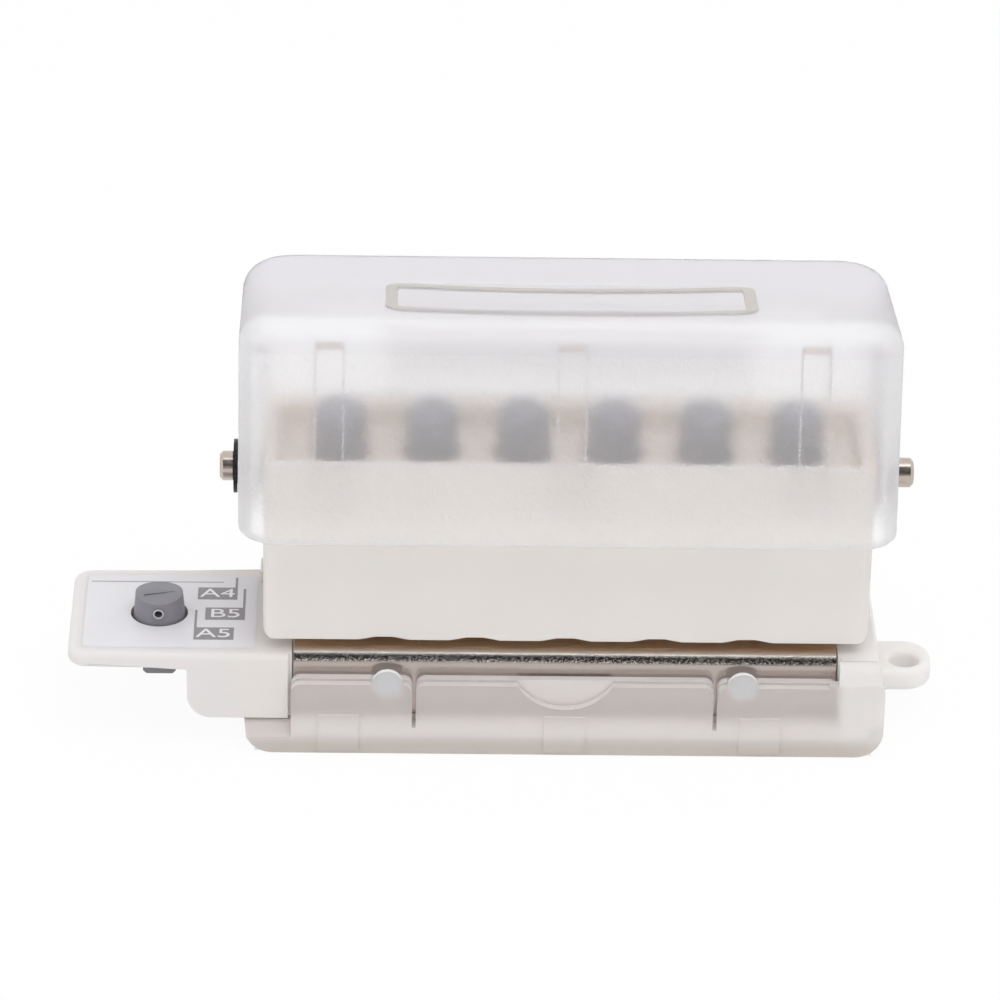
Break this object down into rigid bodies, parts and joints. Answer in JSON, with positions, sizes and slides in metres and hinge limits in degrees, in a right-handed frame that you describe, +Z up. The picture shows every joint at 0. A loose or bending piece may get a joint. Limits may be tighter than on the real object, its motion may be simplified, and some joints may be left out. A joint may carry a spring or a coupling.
{
  "type": "six-hole punch",
  "caption": "Desk punch for loose-leaf paper: a frosted pressing cover drives a row of sprung pins through a steel die plate, with chip tray, size arm and index peg.",
  "frame": {"origin": "on the table, under the middle of the hole row", "axes": "+X along the hole row towards the lanyard ear, +Y to the back where the cover pivots, +Z up"},
  "size_m": [0.0914, 0.0316, 0.0485],
  "materials": {
    "cream_abs": "satin",
    "nickel_steel": "satin",
    "spring_steel": "satin",
    "black_oxide": "satin",
    "frosted_pp": "frosted",
    "grey_plastic": "satin",
    "label_white": "satin"
  },
  "bodies": {
    "base": {"base_frame": "cream_abs", "die_plate": "nickel_steel", "punch_housing": "cream_abs", "head_guide": "cream_abs", "housing_screws": "nickel_steel", "size_label": "label_white", "pivot_shaft": "nickel_steel", "e_clip_left": "black_oxide", "e_clip_right": "black_oxide", "tray_hinge_pin": "nickel_steel", "return_spring_1": "spring_steel", "return_spring_2": "spring_steel", "return_spring_3": "spring_steel", "return_spring_4": "spring_steel", "return_spring_5": "spring_steel", "return_spring_6": "spring_steel", "peg_spring": "spring_steel"},
    "lever": {"lever_cover": "frosted_pp"},
    "punch_1": {"punch_pin_1": "nickel_steel", "punch_head_1": "grey_plastic"},
    "punch_2": {"punch_pin_2": "nickel_steel", "punch_head_2": "grey_plastic"},
    "punch_3": {"punch_pin_3": "nickel_steel", "punch_head_3": "grey_plastic"},
    "punch_4": {"punch_pin_4": "nickel_steel", "punch_head_4": "grey_plastic"},
    "punch_5": {"punch_pin_5": "nickel_steel", "punch_head_5": "grey_plastic"},
    "punch_6": {"punch_pin_6": "nickel_steel", "punch_head_6": "grey_plastic"},
    "peg": {"index_peg": "grey_plastic", "peg_foot": "grey_plastic"},
    "tray": {"chip_tray": "frosted_pp"}
  },
  "joints": [
    {"name": "lever_press", "type": "hinge", "parent": "base", "child": "lever", "pos_m": [0, 0.015, 0.0206], "axis": [1, 0, 0], "range_deg": [0, 15], "stiffness_Nm_per_rad": 0.3, "springref_deg": -8.59},
    {"name": "punch_1_press", "type": "slide", "parent": "base", "child": "punch_1", "axis": [0, 0, -1], "range_m": [0, 0.0041], "deforming": ["return_spring_1"]},
    {"name": "punch_2_press", "type": "slide", "parent": "base", "child": "punch_2", "axis": [0, 0, -1], "range_m": [0, 0.0041], "deforming": ["return_spring_2"]},
    {"name": "punch_3_press", "type": "slide", "parent": "base", "child": "punch_3", "axis": [0, 0, -1], "range_m": [0, 0.0041], "deforming": ["return_spring_3"]},
    {"name": "punch_4_press", "type": "slide", "parent": "base", "child": "punch_4", "axis": [0, 0, -1], "range_m": [0, 0.0041], "deforming": ["return_spring_4"]},
    {"name": "punch_5_press", "type": "slide", "parent": "base", "child": "punch_5", "axis": [0, 0, -1], "range_m": [0, 0.0041], "deforming": ["return_spring_5"]},
    {"name": "punch_6_press", "type": "slide", "parent": "base", "child": "punch_6", "axis": [0, 0, -1], "range_m": [0, 0.0041], "deforming": ["return_spring_6"]},
    {"name": "peg_press", "type": "slide", "parent": "base", "child": "peg", "axis": [0, 0, -1], "range_m": [0, 0.0023], "stiffness_N_per_m": 300, "springref_m": -0.002, "deforming": ["peg_spring"]},
    {"name": "tray_hinge", "type": "hinge", "parent": "base", "child": "tray", "pos_m": [0, 0.0166, 0.0023], "axis": [1, 0, 0], "range_deg": [0, 75]}
  ],
  "couplings": [
    {"joint": "punch_1_press", "follows": "lever_press", "m_per_rad": 0.0152},
    {"joint": "punch_2_press", "follows": "lever_press", "m_per_rad": 0.0152},
    {"joint": "punch_3_press", "follows": "lever_press", "m_per_rad": 0.0152},
    {"joint": "punch_4_press", "follows": "lever_press", "m_per_rad": 0.0152},
    {"joint": "punch_5_press", "follows": "lever_press", "m_per_rad": 0.0152},
    {"joint": "punch_6_press", "follows": "lever_press", "m_per_rad": 0.0152}
  ]
}
